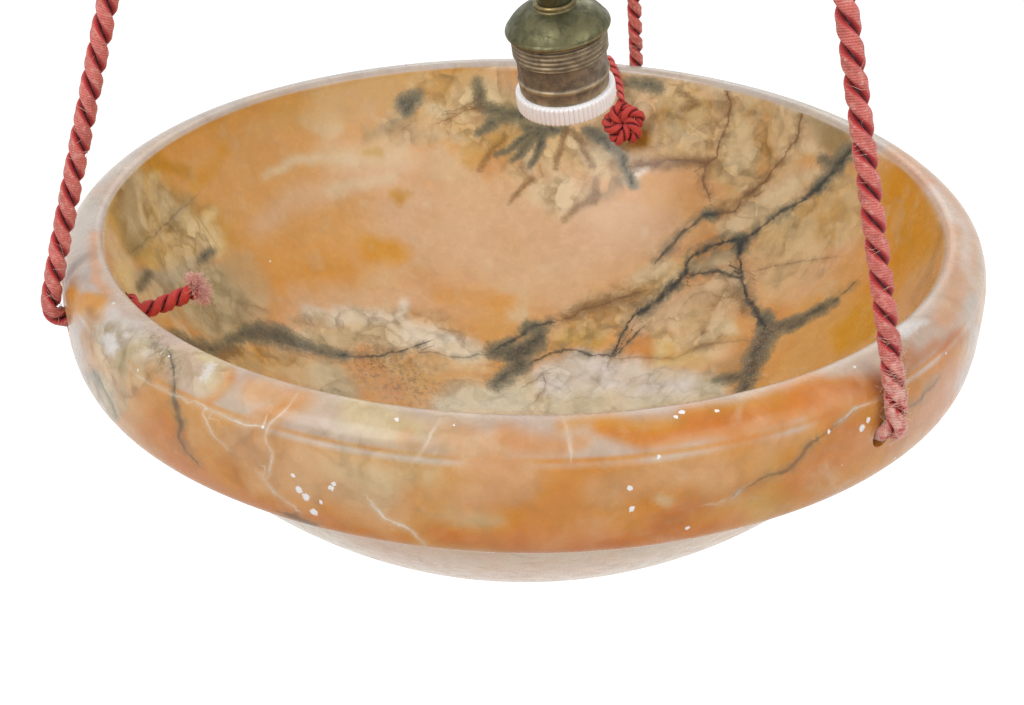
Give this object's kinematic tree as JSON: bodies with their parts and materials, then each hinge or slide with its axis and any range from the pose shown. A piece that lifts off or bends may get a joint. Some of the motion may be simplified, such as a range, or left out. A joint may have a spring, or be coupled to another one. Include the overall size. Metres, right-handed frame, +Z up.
{
  "type": "alabaster bowl pendant",
  "caption": "Pendant light: a turned veined stone bowl hung by twisted silk ropes from a ceiling hook, with a screw lampholder on its own flex above the hollow.",
  "frame": {"origin": "middle of the ceiling face, between the two screw holes of the mounting plate", "axes": "+Z up to the ceiling; -Y towards the side that the picture shows; +X to its right"},
  "size_m": [0.388, 0.3878, 0.8055],
  "materials": {
    "alabaster": "polished veined stone, orange and cream with grey veins",
    "rope_silk": "twisted silk rope, faded red",
    "cap_brass": "olive patina, satin",
    "body_brass": "brown patina, satin",
    "white_porcelain": "white glazed",
    "rose_brass": "aged, satin",
    "hook_steel": "zinc plated, dull",
    "flex_cloth": "braided cotton, dark brown",
    "bush_black": "moulded, satin",
    "contact_brass": "bright"
  },
  "bodies": {
    "root": {"mounting_plate": "hook_steel", "hook_locknut": "hook_steel", "ceiling_hook": "rose_brass", "terminal_block": "white_porcelain", "terminal_screws": "contact_brass"},
    "rose_cup": {"ceiling_cup": "rose_brass", "flex_bush": "bush_black"},
    "rose_nut": {"cup_nut": "rose_brass"},
    "link": {"suspension_ring": "rose_brass"},
    "pendant": {"collar_eye": "rose_brass", "rope_collar": "rose_brass", "rope_left": "rope_silk", "rope_right": "rope_silk", "rope_back": "rope_silk", "knot_left": "rope_silk", "knot_right": "rope_silk", "knot_back": "rope_silk", "tail_left": "rope_silk", "alabaster_bowl": "alabaster"},
    "lamp": {"flex": "flex_cloth", "cord_grip": "cap_brass", "holder_cap": "cap_brass"},
    "grip_screw_body": {"grip_screw": "contact_brass"},
    "socket": {"holder_body": "body_brass", "porcelain_core": "white_porcelain", "screw_shell": "contact_brass", "centre_contact": "contact_brass", "contact_screws": "contact_brass"},
    "shade_ring": {"porcelain_ring": "white_porcelain"}
  },
  "joints": [
    {"name": "cup_slide", "type": "slide", "parent": "root", "child": "rose_cup", "axis": [0, 0, -1], "range_m": [0, 0.0075]},
    {"name": "cup_nut_turn", "type": "hinge", "parent": "rose_cup", "child": "rose_nut", "pos_m": [0, 0, -0.0335], "axis": [0, 0, 1], "continuous": true},
    {"name": "link_swing", "type": "hinge", "parent": "root", "child": "link", "pos_m": [0, 0, -0.066], "axis": [1, 0, 0], "range_deg": [-7, 7]},
    {"name": "bowl_swing", "type": "hinge", "parent": "link", "child": "pendant", "pos_m": [0, 0, -0.0862], "axis": [0, 1, 0], "range_deg": [-7, 7]},
    {"name": "lamp_swing", "type": "hinge", "parent": "root", "child": "lamp", "pos_m": [0.0235, 0, -0.03], "axis": [1, 0, 0], "range_deg": [-4, 4]},
    {"name": "grip_screw_turn", "type": "hinge", "parent": "lamp", "child": "grip_screw_body", "pos_m": [0.01234, 0.00982, -0.56407], "axis": [0.465, -0.8782, -0.1122], "continuous": true},
    {"name": "holder_unscrew", "type": "hinge", "parent": "lamp", "child": "socket", "pos_m": [0.01504, 0.01846, -0.59284], "axis": [-0.1381, -0.1971, 0.9706], "continuous": true},
    {"name": "ring_unscrew", "type": "hinge", "parent": "socket", "child": "shade_ring", "pos_m": [0.0178, 0.0224, -0.61225], "axis": [-0.1381, -0.1971, 0.9706], "continuous": true}
  ]
}
